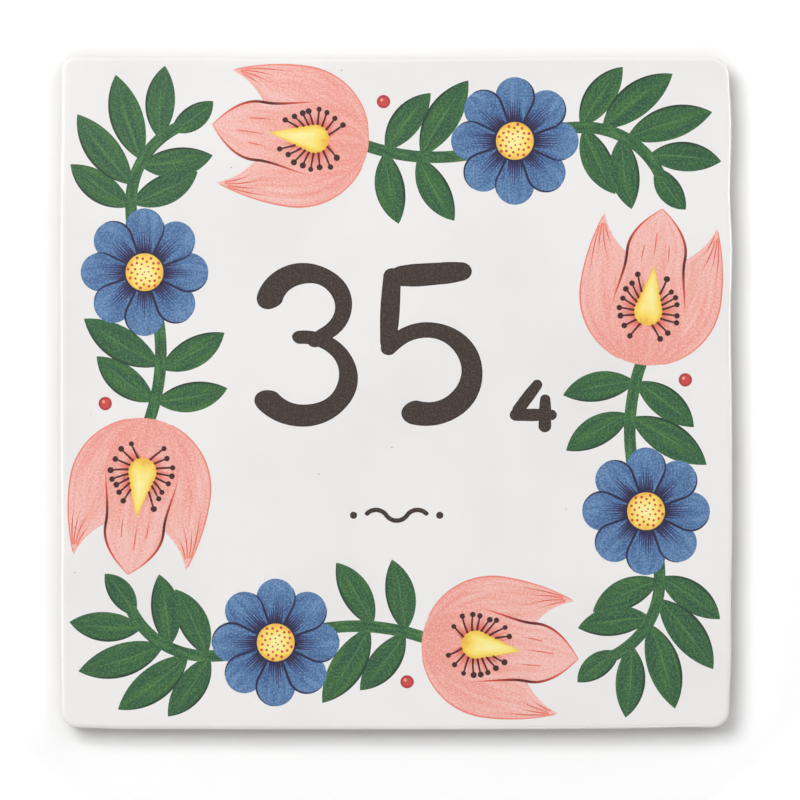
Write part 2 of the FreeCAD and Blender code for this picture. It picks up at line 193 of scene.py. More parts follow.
def strayed(marks, place):
    """How far the edge strayed at a place along it, eased from mark to mark."""
    for (start, low), (end, high) in zip(marks, marks[1:]):
        if start <= place <= end:
            ease = (1 - math.cos(math.pi * (place - start) / (end - start))) / 2
            return low + (high - low) * ease
    return 0.0


cut_across(range(-STRAY_REACH, STRAY_REACH + 1, STRAY_STEP))
for v in slab.verts:
    x, z = v.co.x, v.co.z
    in_side = min(1, max(0, (abs(x) - KEY_REACH) / (TILE_WIDTH / 2 - EDGE_ROLL - KEY_REACH)))
    in_end = min(1, max(0, (abs(z) - KEY_REACH) / (TILE_HEIGHT / 2 - EDGE_ROLL - KEY_REACH)))
    side_bow = (RIGHT_BOW if x > 0 else LEFT_BOW) * max(0, 1 - (2 * z / TILE_HEIGHT) ** 2)
    end_bow = (TOP_BOW if z > 0 else BOTTOM_BOW) * max(0, 1 - (2 * x / TILE_WIDTH) ** 2)
    side_bow += strayed(RIGHT_STRAY if x > 0 else LEFT_STRAY, z)
    end_bow += strayed(TOP_STRAY if z > 0 else BOTTOM_STRAY, x)
    v.co.x += in_side * side_bow * (1 if x > 0 else -1)
    v.co.z += in_end * end_bow * (1 if z > 0 else -1)
for face in slab.faces:
    face.smooth = True

glaze, tree, shader, place = glaze_over("white_earthenware_glaze")
# The white is a shade greyer where the glaze lies thin, in clouds about 30 mm across.
cloud = add(tree, "TexNoise", {"Vector": place, "Scale": 1 / 0.03, "Detail": 3.0})
white = add(tree, "ValToRGB", {"Fac": cloud.outputs["Fac"]},
            [(0.4, GLAZE_WHITE), (0.7, GLAZE_SHADE)])
# Pinholes are up to 0.35 mm wide. They lie 11 mm apart all through the clay, about half of them
# are open, and few reach the surface.
pit = add(tree, "TexVoronoi", {"Vector": place, "Scale": 1 / 0.011})
pit_core = add(tree, "Math", {0: pit.outputs["Distance"], 1: 0.016}, operation="LESS_THAN")
pit_kind = add(tree, "SeparateColor", {0: pit.outputs["Color"]})
pit_open = add(tree, "Math", {0: pit_kind.outputs[0], 1: 0.45}, operation="GREATER_THAN")
pinhole = add(tree, "Math", {0: pit_core.outputs[0], 1: pit_open.outputs[0]}, operation="MULTIPLY")
pitted = blend(tree, pinhole.outputs[0], white.outputs[0], paint(PINHOLE_GREY))
# The biscuit is mottled by the clay, from 4 mm down to its grain.
mottle = add(tree, "TexNoise",
             {"Vector": place, "Scale": 1 / 0.004, "Detail": 8.0, "Roughness": 0.7})
biscuit = add(tree, "ValToRGB", {"Fac": mottle.outputs["Fac"]},
              [(0.35, BISCUIT_PALE), (0.68, BISCUIT_WARM)])
# The glaze ends on the sides in an uneven line, 1.2 to 2.4 mm in front of the back.
depth = add(tree, "SeparateXYZ", {0: place})
drip = add(tree, "TexNoise", {"Vector": place, "Scale": 1 / 0.006, "Detail": 2.0})
line = add(tree, "MapRange", {0: drip.outputs["Fac"], 1: 0.3, 2: 0.7, 3: -0.0024, 4: -0.0012})
bare = add(tree, "Math", {0: depth.outputs[1], 1: line.outputs[0]}, operation="GREATER_THAN")
body_colour = blend(tree, bare.outputs[0], pitted, biscuit.outputs[0])
body_gloss = add(tree, "MapRange", {0: bare.outputs[0], 3: GLAZE_ROUGHNESS, 4: BISCUIT_ROUGHNESS})
tree.links.new(body_colour, shader.inputs["Base Color"])
tree.links.new(body_gloss.outputs[0], shader.inputs["Roughness"])

tile = object_from(slab, "glazed_tile", glaze)
tile.data.set_sharp_from_angle(angle=math.radians(SHARP_FROM))
smoothing = tile.modifiers.new("even_shading", "WEIGHTED_NORMAL")
smoothing.keep_sharp = True
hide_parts("tile")
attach(tile, "root")

# The vine of one side of the border, under the glaze as all the colours are: a green stem in three
# arcs, each running into the next, drawn with an even brush. The flowers are set on it, and the
# side is repeated at the other three in quarter turns.
PRINT_MARGIN, BORDER_WIDTH = 1.8, 31.0
DAISY_FROM_CORNER, DAISY_DROP, TULIP_TO_DAISY, TULIP_DROP = 30.4, 1.2, 32.6, 2.4
VINE_SAG, VINE_WIDTH, HUMP_RADIUS, HUMP_SPAN = 3.0, 2.6, 38.0, 16.6
SPRAY_RADIUS, SPRAY_TURN, STEM_UNDER_PETALS, STEM_LEVEL = 18.5, 60, 9.2, -8.0115
STEM_GREEN, STEM_DARK, STEM_LIGHT = "#2F6138", "#1F4A30", "#4A7B40"
STEM_GRAIN = "#5F8C55", "#143A22"
PILE_HEIGHT = 0.005
border_line = min(TILE_WIDTH, TILE_HEIGHT) / 2 - PRINT_MARGIN - BORDER_WIDTH / 2
daisy_middle = Vector((border_line - DAISY_FROM_CORNER, border_line - DAISY_DROP))
tulip_base = Vector((daisy_middle.x - TULIP_TO_DAISY, border_line - TULIP_DROP))
brush = random.Random(41)


def drawn_line(start, heading, *moves):
    """A brushed line: from start, each move is a length and the degrees that it turns by."""
    whole = sum(length for length, _ in moves)

    def point(share):
        spot, angle, left = Vector(start), math.radians(heading), share * whole
        for length, turn in moves:
            run = min(left, length)
            bend = math.radians(turn) * run / length
            chord = run if abs(bend) < 1e-6 else run * math.sin(bend / 2) / (bend / 2)
            spot += chord * Vector((math.cos(angle + bend / 2), math.sin(angle + bend / 2)))
            angle += bend
            left -= run
        return spot, angle

    return point


def turned_to(x, z, degrees):
    """The place of a motif on the face: its own origin at x, z, and turned, seen from the front."""
    return Matrix.Translation((x, 0, z)) @ Matrix.Rotation(-math.radians(degrees), 4, "Y")


def lay_field(colours, place, left_edge, right_edge, level, tone, steps=20, across=2, pile=50):
    """A field of colour between two edges, each a point for a share of the way. Its map runs along
    and across it, and its tone sets it apart from its neighbours. It lies a hair over the one
    before, and a whole pile of them is as thick as one wash of colour."""
    level -= PILE_HEIGHT / pile * (len(colours.faces) // (steps * across) % pile)
    along_map = colours.loops.layers.uv.get("along") or colours.loops.layers.uv.new("along")
    tones = colours.faces.layers.float.get("tone") or colours.faces.layers.float.new("tone")
    grid = bmesh.ops.create_grid(colours, x_segments=steps, y_segments=across, size=0.5)["verts"]
    for face in {face for v in grid for face in v.link_faces}:
        face[tones] = tone
        for loop in face.loops:
            share = 0.5 - math.cos(math.pi * (loop.vert.co.x + 0.5)) / 2
            loop[along_map].uv = (share, loop.vert.co.y + 0.5)
    for v in grid:
        share = 0.5 - math.cos(math.pi * (v.co.x + 0.5)) / 2
        spot = right_edge(share).lerp(left_edge(share), v.co.y + 0.5)
        v.co = place @ Vector((spot.x, level, spot.y))


def lay_stroke(colours, place, line, half_width, level, tone, steps=20, across=2, pile=50):
    """A brush stroke along a line, with a half width for each share of the way, or two of them."""

    def edge(side):
        def point(share):
            spot, angle = line(share)
            width = half_width(share)
            if isinstance(width, tuple):
                width = width[0] if side > 0 else width[1]
            return spot + side * width * Vector((-math.sin(angle), math.cos(angle)))

        return point

    lay_field(colours, place, edge(1), edge(-1), level, tone, steps, across, pile)


def round_ended(half, length):
    """The half width of a stroke with round ends."""

    def width(share):
        from_end = min(share, 1 - share) * length
        return half * math.sqrt(max(0, 1 - max(0, 1 - from_end / half) ** 2))

    return width


gap_chord = daisy_middle - tulip_base
gap_half = 2 * math.atan2(2 * VINE_SAG, gap_chord.length)
gap_length = gap_chord.length * gap_half / math.sin(gap_half)
gap_heading = math.degrees(math.atan2(gap_chord.y, gap_chord.x) - gap_half)
gap_turn = math.degrees(2 * gap_half)
gap_vine = drawn_line(tulip_base, gap_heading, (gap_length, gap_turn))
hump_turn = 2 * math.degrees(math.asin(HUMP_SPAN / 2 / HUMP_RADIUS))
hump_length = HUMP_RADIUS * math.radians(hump_turn)
hump_vine = drawn_line(daisy_middle, gap_heading + gap_turn, (hump_length, -hump_turn))
spray_length = SPRAY_RADIUS * math.radians(SPRAY_TURN)
spray_start = hump_vine(1)[0]
spray_heading = gap_heading + gap_turn - hump_turn
spray_vine = drawn_line(spray_start, spray_heading, (spray_length, -SPRAY_TURN))
stem_half = VINE_WIDTH / 2
heel = Vector((math.cos(math.radians(gap_heading)), math.sin(math.radians(gap_heading))))
short_length = gap_length - STEM_UNDER_PETALS
short_stem = drawn_line(
    tulip_base - heel * stem_half,
    gap_heading,
    (stem_half, 0),
    (short_length, gap_turn * short_length / gap_length),
)
short_width = round_ended(stem_half, short_length + stem_half)
leaving, leaving_angle = hump_vine(STEM_UNDER_PETALS / hump_length)
rest = hump_length - STEM_UNDER_PETALS
long_stem = drawn_line(
    leaving,
    math.degrees(leaving_angle),
    (rest, -hump_turn * rest / hump_length),
    (spray_length, -SPRAY_TURN),
    (stem_half, 0),
)
long_width = round_ended(stem_half, rest + spray_length + stem_half)
stems = bmesh.new()
for side in range(4):
    quarter = turned_to(0, 0, 90 * side)
    lay_stroke(stems, quarter, short_stem, short_width, STEM_LEVEL, side / 4, steps=40)
    lay_stroke(stems, quarter, long_stem, long_width, STEM_LEVEL, side / 4 + 0.1, steps=60)


def shares_of(tree):
    """The share of the way along a field of colour, and across it."""
    shares = add(tree, "SeparateXYZ", {0: add(tree, "UVMap", uv_map="along").outputs[0]})
    return shares.outputs[0], shares.outputs[1]


def tone_of(tree):
    return add(tree, "Attribute", attribute_name="tone").outputs["Fac"]


def streaks(tree, long_scale, cross_scale, detail, roughness=0.5):
    """Streaks that are drawn out along a field, and moved by its tone so that no two are alike."""
    own_map, tone = add(tree, "UVMap", uv_map="along").outputs[0], tone_of(tree)
    shift = add(tree, "CombineXYZ", {0: tone, 1: tone, 2: tone})
    shifted = add(tree, "VectorMath", {0: own_map, 1: shift.outputs[0]}, operation="ADD")
    drawn = add(tree, "Mapping",
                {"Vector": shifted.outputs[0], "Scale": (long_scale, cross_scale, 40)})
    noise = add(tree, "TexNoise", {"Vector": drawn.outputs[0], "Scale": 1.0, "Detail": detail,
                                   "Roughness": roughness})
    return noise.outputs["Fac"]


def with_grain(tree, colour, place, grain, amount):
    """The ink's own grain: lighter and darker specks. The real ones are a quarter of a millimetre
    wide, and are drawn at 0.4 mm so that they show."""
    noise = add(tree, "TexNoise", {"Vector": place, "Scale": 1 / 0.0004, "Detail": 1.0})
    for full_at, speck in zip((0.68, 0.32), grain):
        specks = add(tree, "MapRange",
                     {0: noise.outputs["Fac"], 1: 0.5, 2: full_at, 3: 0.0, 4: amount})
        colour = blend(tree, specks.outputs[0], colour, paint(speck))
    return colour


stem_green, tree, shader, place = glaze_over("green_underglaze_brushed_stem")
green = add(tree, "ValToRGB", {"Fac": streaks(tree, 6.0, 3.0, 3.0)},
            [(0.35, STEM_DARK), (0.5, STEM_GREEN), (0.7, STEM_LIGHT)])
grained = with_grain(tree, green.outputs[0], place, STEM_GRAIN, 0.5)
tree.links.new(grained, shader.inputs["Base Color"])
stem_piece = object_from(stems, "vine_stems", stem_green)
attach(stem_piece, "root")

# The leaves: laurel leaves of three sizes in green underglaze, laid on with one loaded brush each,
# so that the colour streaks along the leaf. Fine lighter veins are scraped in, and one edge has a
# dark line.
LEAF_SIZES = {"long": (20.0, 7.4), "mid": (16.4, 6.6), "short": (11.5, 5.4)}
LEAF_BEND, LEAF_LEVEL = 0.5, -8.006
OUTER_LEAVES = [
    (gap_vine, 0.12, 66, "mid"),
    (gap_vine, 0.36, 62, "long"),
    (hump_vine, 0.90, 55, "mid"),
    (spray_vine, 0.16, 50, "long"),
    (spray_vine, 0.46, 47, "long"),
    (spray_vine, 0.78, 45, "mid"),
]
INNER_LEAVES = [
    (gap_vine, 0.12, 66, "mid"),
    (gap_vine, 0.34, 56, "mid"),
    (hump_vine, 0.94, 64, "mid"),
    (spray_vine, 0.40, 56, "mid"),
    (spray_vine, 0.94, -4, "short"),
]
LEAF_TEAL, LEAF_GREEN, LEAF_YELLOW = "#1D4A35", "#2A5B35", "#3F6E31"
LEAF_VEIN, LEAF_EDGE, LEAF_GRAIN = "#5F8C52", "#0F2C1D", ("#5A8A58", "#12341F")


def leaf_half_width(length, fullness):
    """Half the width of a leaf whose edge is an arc from root to tip."""
    radius = (length**2 / 4 + fullness**2) / (2 * fullness)
    return lambda share: math.sqrt(radius**2 - (length * (share - 0.5)) ** 2) - (radius - fullness)


leaves = bmesh.new()
for side in range(4):
    quarter = turned_to(0, 0, 90 * side)
    for bend_side, places in ((1, OUTER_LEAVES), (-1, INNER_LEAVES)):
        for vine, share, spread, kind in places:
            length, width = LEAF_SIZES[kind]
            root, vine_angle = vine(share)
            left = leaf_half_width(length, width / 2 + bend_side * LEAF_BEND)
            right = leaf_half_width(length, width / 2 - bend_side * LEAF_BEND)
            midrib = drawn_line(
                root, math.degrees(vine_angle) + bend_side * spread, (length, 0)
            )
            lay_stroke(leaves, quarter, midrib, lambda share: (left(share), right(share)),
                       LEAF_LEVEL, brush.random(), steps=24, across=4,
                       pile=len(OUTER_LEAVES + INNER_LEAVES))
bmesh.ops.remove_doubles(leaves, verts=leaves.verts, dist=1e-5)

leaf_green, tree, shader, place = glaze_over("green_underglaze_brushed_leaf")
along, across = shares_of(tree)
green = add(tree, "ValToRGB", {"Fac": streaks(tree, 2.2, 7.0, 5.0, 0.6)},
            [(0.34, LEAF_TEAL), (0.5, LEAF_GREEN), (0.66, LEAF_YELLOW)])
from_rib = add(tree, "Math", {0: across, 1: 0.5}, operation="SUBTRACT")
off_rib = add(tree, "Math", {0: from_rib.outputs[0]}, operation="ABSOLUTE")
# Side veins leave the rib forwards, one in about 1.7 mm of a 16 mm leaf, and are 0.2 mm wide.
swept = add(tree, "Math", {0: off_rib.outputs[0], 1: -0.34}, operation="MULTIPLY")
vein_run = add(tree, "Math", {0: along, 1: swept.outputs[0]}, operation="ADD")
vein_count = add(tree, "Math", {0: vein_run.outputs[0], 1: 9.5}, operation="MULTIPLY")
vein_beat = add(tree, "Math", {0: vein_count.outputs[0], 1: 0.5}, operation="PINGPONG")
side_vein = add(tree, "MapRange", {0: vein_beat.outputs[0], 1: 0.03, 2: 0.09, 3: 0.26, 4: 0.0})
rib = add(tree, "MapRange", {0: off_rib.outputs[0], 1: 0.015, 2: 0.045, 3: 0.5, 4: 0.0})
veins = add(tree, "Math", {0: side_vein.outputs[0], 1: rib.outputs[0]}, operation="MAXIMUM")
fade = add(tree, "MapRange", {0: along, 1: 0.55, 2: 0.95, 3: 1.0, 4: 0.0})
vein_mask = add(tree, "Math", {0: veins.outputs[0], 1: fade.outputs[0]}, operation="MULTIPLY")
veined = blend(tree, vein_mask.outputs[0], green.outputs[0], paint(LEAF_VEIN))
grained = with_grain(tree, veined, place, LEAF_GRAIN, 0.5)
edge_mask = add(tree, "MapRange", {0: across, 1: 0.90, 2: 0.955, 3: 0.0, 4: 0.9})
edged = blend(tree, edge_mask.outputs[0], grained, paint(LEAF_EDGE))
tree.links.new(edged, shader.inputs["Base Color"])
leaf_piece = object_from(leaves, "laurel_leaves", leaf_green)
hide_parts("leaf_print")
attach(leaf_piece, "root")

# The tulips: three petals in coral underglaze, two at the sides and one before them, the colour
# dabbed on so that it stays grainy and pales towards the tips.
TULIP_TILT, TULIP_BELLY, TULIP_HEIGHT = 8, 15.7, 35.0
NOTCH_HEIGHT, NOTCH_HALF, SIDE_TIP_HEIGHT, SIDE_TIP_HALF = 24.4, 6.5, 32.4, 12.6
NOTCH_HOLLOW, TIP_BULGE = 0.9, 1.6
SIDE_PETAL_LEVEL, FRONT_PETAL_LEVEL = -8.018, -8.022
CORAL_DEEP, CORAL, CORAL_PALE = "#EE9A8D", "#F2ACA1", "#F4C0B8"
CORAL_GRAIN = "#F8D6CF", "#E08C80"
tulip_turn = 180 - TULIP_TILT


def mirrored(line, side):
    """The same line on the other side of the flower's axis where side is -1."""

    def point(share):
        spot, angle = line(share)
        return Vector((spot.x, spot.y * side)), angle * side

    return point


def spots_of(line):
    return lambda share: line(share)[0]


def front_half_width(share):
    """Half the front petal's width, full at a third of its height and drawn in to the notches."""
    height = share * TULIP_HEIGHT
    if height < NOTCH_HEIGHT:
        reach = height / NOTCH_HEIGHT
        return 8.4 * math.sin(math.pi * min(1, reach * 0.97)) ** 0.55 * (1 - reach) + (
            NOTCH_HALF * reach**0.7
        )
    over = (height - NOTCH_HEIGHT) / (TULIP_HEIGHT - NOTCH_HEIGHT)
    lean = math.atan2(NOTCH_HALF, TULIP_HEIGHT - NOTCH_HEIGHT)
    return NOTCH_HALF * (1 - over) + TIP_BULGE / math.cos(lean) * 4 * over * (1 - over)


flank_lean = TULIP_BELLY - SIDE_TIP_HALF
flank_radius = ((SIDE_TIP_HEIGHT - TULIP_BELLY) ** 2 + flank_lean**2) / (2 * flank_lean)
flank_turn = math.degrees(math.asin((SIDE_TIP_HEIGHT - TULIP_BELLY) / flank_radius))
flank_run = flank_radius * math.radians(flank_turn)
outer_edge = drawn_line((0, 0), -90, (TULIP_BELLY * math.pi / 2, 90), (flank_run, flank_turn))
notch_angle = math.degrees(math.atan2(-NOTCH_HALF, NOTCH_HEIGHT))
tip_angle = math.degrees(math.atan2(NOTCH_HALF - SIDE_TIP_HALF, SIDE_TIP_HEIGHT - NOTCH_HEIGHT))
tip_run = math.hypot(SIDE_TIP_HEIGHT - NOTCH_HEIGHT, SIDE_TIP_HALF - NOTCH_HALF)
half_hollow = 2 * math.atan2(2 * NOTCH_HOLLOW, tip_run)
inner_edge = drawn_line(
    (0, 0),
    notch_angle,
    (math.hypot(NOTCH_HEIGHT, NOTCH_HALF), 0),
    (0.01, tip_angle - notch_angle - math.degrees(half_hollow)),
    (tip_run * half_hollow / math.sin(half_hollow), math.degrees(2 * half_hollow)),
)
axis_line = drawn_line((0, 0), 0, (TULIP_HEIGHT, 0))
tulips = bmesh.new()
tulip_places = [
    turned_to(0, 0, 90 * side) @ turned_to(tulip_base.x, tulip_base.y, tulip_turn)
    for side in range(4)
]
for place_on_face in tulip_places:
    for side in (1, -1):
        left, right = (inner_edge, outer_edge) if side > 0 else (outer_edge, inner_edge)
        left, right = spots_of(mirrored(left, side)), spots_of(mirrored(right, side))
        lay_field(tulips, place_on_face, left, right, SIDE_PETAL_LEVEL,
                  brush.random(), steps=72, across=6)
    lay_stroke(tulips, place_on_face, axis_line, front_half_width, FRONT_PETAL_LEVEL,
               brush.random(), steps=72, across=6)
bmesh.ops.remove_doubles(tulips, verts=tulips.verts, dist=1e-5)

coral, tree, shader, place = glaze_over("coral_underglaze_petal")
along, _ = shares_of(tree)
streak = streaks(tree, 3.0, 9.0, 4.0, 0.55)
lift = add(tree, "MapRange", {0: along, 1: 0.1, 2: 0.95, 3: -0.16, 4: 0.16})
paled = add(tree, "Math", {0: streak, 1: lift.outputs[0]}, operation="ADD")
pink = add(tree, "ValToRGB", {"Fac": paled.outputs[0]},
           [(0.3, CORAL_DEEP), (0.48, CORAL), (0.7, CORAL_PALE)])
grained = with_grain(tree, pink.outputs[0], place, CORAL_GRAIN, 0.45)
tree.links.new(grained, shader.inputs["Base Color"])
tulip_piece = object_from(tulips, "tulip_petals", coral)
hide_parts("tulip_print")
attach(tulip_piece, "root")

# The tulips' creases: fine red-brown lines painted over the coral before firing, which swell and
# taper with the brush, along the front petal's edges and in from the petals' tips.
CREASE_LEVEL = -8.030
FRONT_EDGE_TAPER, OUTER_EDGE_TAPER = (0.02, 0.10, 0.24), (0.10, 0.12, 0.06)
FOLD_TAPER = 0.20, 0.03
SIDE_FOLDS = ((0.24, 0.16), (0.46, 0.24), (0.66, 0.20), (0.84, 0.26))
FRONT_FOLDS = ((-2.6, 27.0, 5.0), (0.4, 29.5, 6.5), (2.8, 26.6, 4.4))
CREASE_CORAL, CREASE_RED, CREASE_MAROON = "#EE8A78", "#D9523F", "#5A1A14"


def tapered(root, tip, swell=0.0):
    """A stroke's half width that runs from root to tip, and swells in the middle."""
    return lambda share: root + (tip - root) * share + swell * math.sin(math.pi * share)


creases = bmesh.new()
for place_on_face in tulip_places:
    for side in (1, -1):
        front_edge = [
            Vector((share * TULIP_HEIGHT, side * front_half_width(share)))
            for share in [0.34 + 0.66 * step / 30 for step in range(31)]
        ]

        def edge_line(share, trail=front_edge):
            step = min(len(trail) - 2, int(share * (len(trail) - 1)))
            way = trail[step + 1] - trail[step]
            spot = trail[step].lerp(trail[step + 1], share * (len(trail) - 1) - step)
            return spot, math.atan2(way.y, way.x)

        taper = tapered(*FRONT_EDGE_TAPER)
        lay_stroke(creases, place_on_face, edge_line, taper, CREASE_LEVEL, 0.9, 40)
        outline = mirrored(outer_edge, side)
        lay_stroke(creases, place_on_face, lambda share: outline(0.12 + 0.86 * share),
                   tapered(*OUTER_EDGE_TAPER), CREASE_LEVEL, 0.1, 40)
        for aside, reach in SIDE_FOLDS:
            inner, outer = spots_of(mirrored(inner_edge, side)), spots_of(outline)
            near_tip, back = 0.95 - 0.03 * brush.random(), reach * (0.85 + 0.3 * brush.random())

            def down_petal(share):
                spot, next_spot = [
                    inner(near_tip - back * along).lerp(outer(near_tip - back * along), aside)
                    for along in (share, share + 0.02)
                ]
                return spot, math.atan2(next_spot.y - spot.y, next_spot.x - spot.x)

            lay_stroke(creases, place_on_face, down_petal, tapered(*FOLD_TAPER), CREASE_LEVEL, 0.3)
    for aside, start, length in FRONT_FOLDS:
        run = length * (0.85 + 0.3 * brush.random())
        fold = drawn_line((start, aside), 180 - 3 * aside, (run, 4 * aside))
        lay_stroke(creases, place_on_face, fold, tapered(*FOLD_TAPER), CREASE_LEVEL, 0.3)

crease_red, tree, shader, _ = glaze_over("red_brown_underglaze_line")
along, _ = shares_of(tree)
middle = add(tree, "Math", {0: along, 1: 0.5}, operation="PINGPONG")
weight = add(tree, "Math", {0: middle.outputs[0], 1: tone_of(tree)}, operation="MULTIPLY")
pulled = add(tree, "Math", {0: weight.outputs[0], 1: 2.2}, operation="MULTIPLY")
red = add(tree, "ValToRGB", {"Fac": pulled.outputs[0]},
          [(0.05, CREASE_CORAL), (0.35, CREASE_RED), (0.9, CREASE_MAROON)])
tree.links.new(red.outputs[0], shader.inputs["Base Color"])
crease_piece = object_from(creases, "tulip_creases", crease_red)
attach(crease_piece, "root")

# The daisies: eight petals in blue underglaze, each laid over the one before, the blue grainy and
# deeper towards the middle.
DAISY_RADIUS, PETAL_TIP_RADIUS, DAISY_CENTRE_RADIUS, DAISY_PETALS = 14.2, 4.3, 4.2, 8
DAISY_LEVEL, PETAL_LIFT = -8.018, 0.0008
BLUE_DEEP, BLUE, BLUE_PALE, BLUE_GRAIN = "#34558A", "#4A709E", "#668CB8", ("#86A8CB", "#274778")
tip_middle = DAISY_RADIUS - PETAL_TIP_RADIUS
petal_lean = math.asin(PETAL_TIP_RADIUS / tip_middle)
side_run = tip_middle * math.cos(petal_lean)


def petal_half_width(share):
    """Half a daisy petal's width: straight sides from the middle, and a round tip."""
    reach = share * DAISY_RADIUS
    if reach < side_run * math.cos(petal_lean):
        return reach * math.tan(petal_lean)
    return math.sqrt(max(0, PETAL_TIP_RADIUS**2 - (reach - tip_middle) ** 2))


daisy_places = [
    turned_to(0, 0, 90 * side) @ turned_to(daisy_middle.x, daisy_middle.y, 0) for side in range(4)
]
daisies = bmesh.new()
for place_on_face in daisy_places:
    for petal in range(DAISY_PETALS):
        on_petal = place_on_face @ turned_to(0, 0, 360 / DAISY_PETALS * petal)
        petal_line = drawn_line((0, 0), 0, (DAISY_RADIUS, 0))
        level = DAISY_LEVEL - PETAL_LIFT * petal
        lay_stroke(daisies, on_petal, petal_line, petal_half_width, level,
                   brush.random(), steps=30, across=4)
bmesh.ops.remove_doubles(daisies, verts=daisies.verts, dist=1e-5)

blue, tree, shader, place = glaze_over("blue_underglaze_petal")
along, _ = shares_of(tree)
streak = streaks(tree, 2.5, 6.0, 4.0, 0.6)
lift = add(tree, "MapRange", {0: along, 1: 0.25, 2: 0.9, 3: -0.18, 4: 0.12})
paled = add(tree, "Math", {0: streak, 1: lift.outputs[0]}, operation="ADD")
petal_blue = add(tree, "ValToRGB", {"Fac": paled.outputs[0]},
                 [(0.28, BLUE_DEEP), (0.5, BLUE), (0.75, BLUE_PALE)])
grained = with_grain(tree, petal_blue.outputs[0], place, BLUE_GRAIN, 0.5)
tree.links.new(grained, shader.inputs["Base Color"])
daisy_piece = object_from(daisies, "daisy_petals", blue)
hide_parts("daisy_print")
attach(daisy_piece, "root")

# The daisies' lines: navy strokes that spring from the middle and thin out along each petal, a line
# down one side of each petal and round part of its tip, and a ring where they all start.
NAVY_LEVEL, RING_OFF = -8.0325, 0.12
NAVY_TAPER, SIDE_LINE_TAPER, RING_TAPER = (0.27, 0.02), (0.30, 0.05, 0.06), (0.32, 0.32)
NAVY, NAVY_PURPLE, NAVY_THIN = "#15183C", "#281E4C", "#2C3F78"
navy_lines = bmesh.new()
for place_on_face in daisy_places:
    for petal in range(DAISY_PETALS):
        on_petal = place_on_face @ turned_to(0, 0, 360 / DAISY_PETALS * petal)
        for line_number in range(-3, 4):
            angle = 5.4 * line_number + 1.2 * (brush.random() - 0.5)
            start = Matrix.Rotation(math.radians(angle), 2) @ Vector((DAISY_CENTRE_RADIUS - 0.2, 0))
            length = (6.6 - 0.75 * abs(line_number)) * (0.78 + 0.35 * brush.random())
            turn = -0.8 * angle + 6 * (brush.random() - 0.5)
            line = drawn_line(start, 0.75 * angle, (length, turn))
            lay_stroke(navy_lines, on_petal, line, tapered(*NAVY_TAPER), NAVY_LEVEL,
                       0.5 + 0.5 * brush.random(), 14, 1)
        edge_start = Matrix.Rotation(-petal_lean, 2) @ Vector((DAISY_CENTRE_RADIUS, 0))
        tip_turn = 40 + 90 * brush.random()
        side_line = drawn_line(
            edge_start,
            -math.degrees(petal_lean),
            (side_run - DAISY_CENTRE_RADIUS, 0),
            (PETAL_TIP_RADIUS * math.radians(tip_turn), tip_turn),
        )
        taper = tapered(*SIDE_LINE_TAPER)
        lay_stroke(navy_lines, on_petal, side_line, taper, NAVY_LEVEL, 0.2, 40, 1)
    ring_radius = DAISY_CENTRE_RADIUS + RING_OFF
    ring = drawn_line((ring_radius, 0), 90, (2 * math.pi * ring_radius, 360))
    lay_stroke(navy_lines, place_on_face, ring, tapered(*RING_TAPER), NAVY_LEVEL, 0.0, 60, 1)

navy, tree, shader, _ = glaze_over("navy_underglaze_line")
along, _ = shares_of(tree)
thinned = add(tree, "Math", {0: along, 1: tone_of(tree)}, operation="MULTIPLY")
ink = add(tree, "ValToRGB", {"Fac": thinned.outputs[0]},
          [(0.0, NAVY), (0.25, NAVY_PURPLE), (0.85, NAVY_THIN)])
tree.links.new(ink.outputs[0], shader.inputs["Base Color"])
navy_piece = object_from(navy_lines, "daisy_lines", navy)
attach(navy_piece, "root")

# The yellow middles: a disc in each daisy and a drop in each tulip, laid on thick, so that the
# colour is pale in the middle and gathers at the rim.
CENTRE_LEVEL = -8.038
HEART_HEIGHT, HEART_RADIUS, HEART_LENGTH = 12.0, 3.2, 10.4
YELLOW_PALE, YELLOW, YELLOW_RIM = "#FBEFA0", "#F9DC66", "#EFB94A"
heart_lean = math.acos(HEART_RADIUS / HEART_LENGTH)


def heart_half_width(share):
    """Half the drop's width: round towards the stem, and pointed towards the petals' tips."""
    reach = share * (HEART_RADIUS + HEART_LENGTH) - HEART_RADIUS
    if reach < HEART_RADIUS * math.cos(heart_lean):
        return math.sqrt(max(0, HEART_RADIUS**2 - reach**2))
    return (HEART_LENGTH - reach) / math.tan(heart_lean)


def disc_half_width(radius):
    return lambda share: math.sqrt(max(0, 1 - (2 * share - 1) ** 2)) * radius


def out_to_rim(tree):
    """How far out a place lies on a field, from 0 in its middle to 1 on its rim."""
    spans = [add(tree, "MapRange", {0: share, 3: -1.0, 4: 1.0}) for share in shares_of(tree)]
    outs = [add(tree, "Math", {0: span.outputs[0]}, operation="ABSOLUTE") for span in spans]
    rim = add(tree, "Math", {0: outs[0].outputs[0], 1: outs[1].outputs[0]}, operation="MAXIMUM")
    return rim.outputs[0]


centres = bmesh.new()
drop_line = drawn_line((HEART_HEIGHT - HEART_RADIUS, 0), 0, (HEART_RADIUS + HEART_LENGTH, 0))
for place_on_face in tulip_places:
    lay_stroke(centres, place_on_face, drop_line, heart_half_width, CENTRE_LEVEL, 0.3, 30, 6)
disc_line = drawn_line((-DAISY_CENTRE_RADIUS, 0), 0, (2 * DAISY_CENTRE_RADIUS, 0))
for place_on_face in daisy_places:
    disc_width = disc_half_width(DAISY_CENTRE_RADIUS)
    lay_stroke(centres, place_on_face, disc_line, disc_width, CENTRE_LEVEL, 0.7, 30, 6)
bmesh.ops.remove_doubles(centres, verts=centres.verts, dist=1e-5)

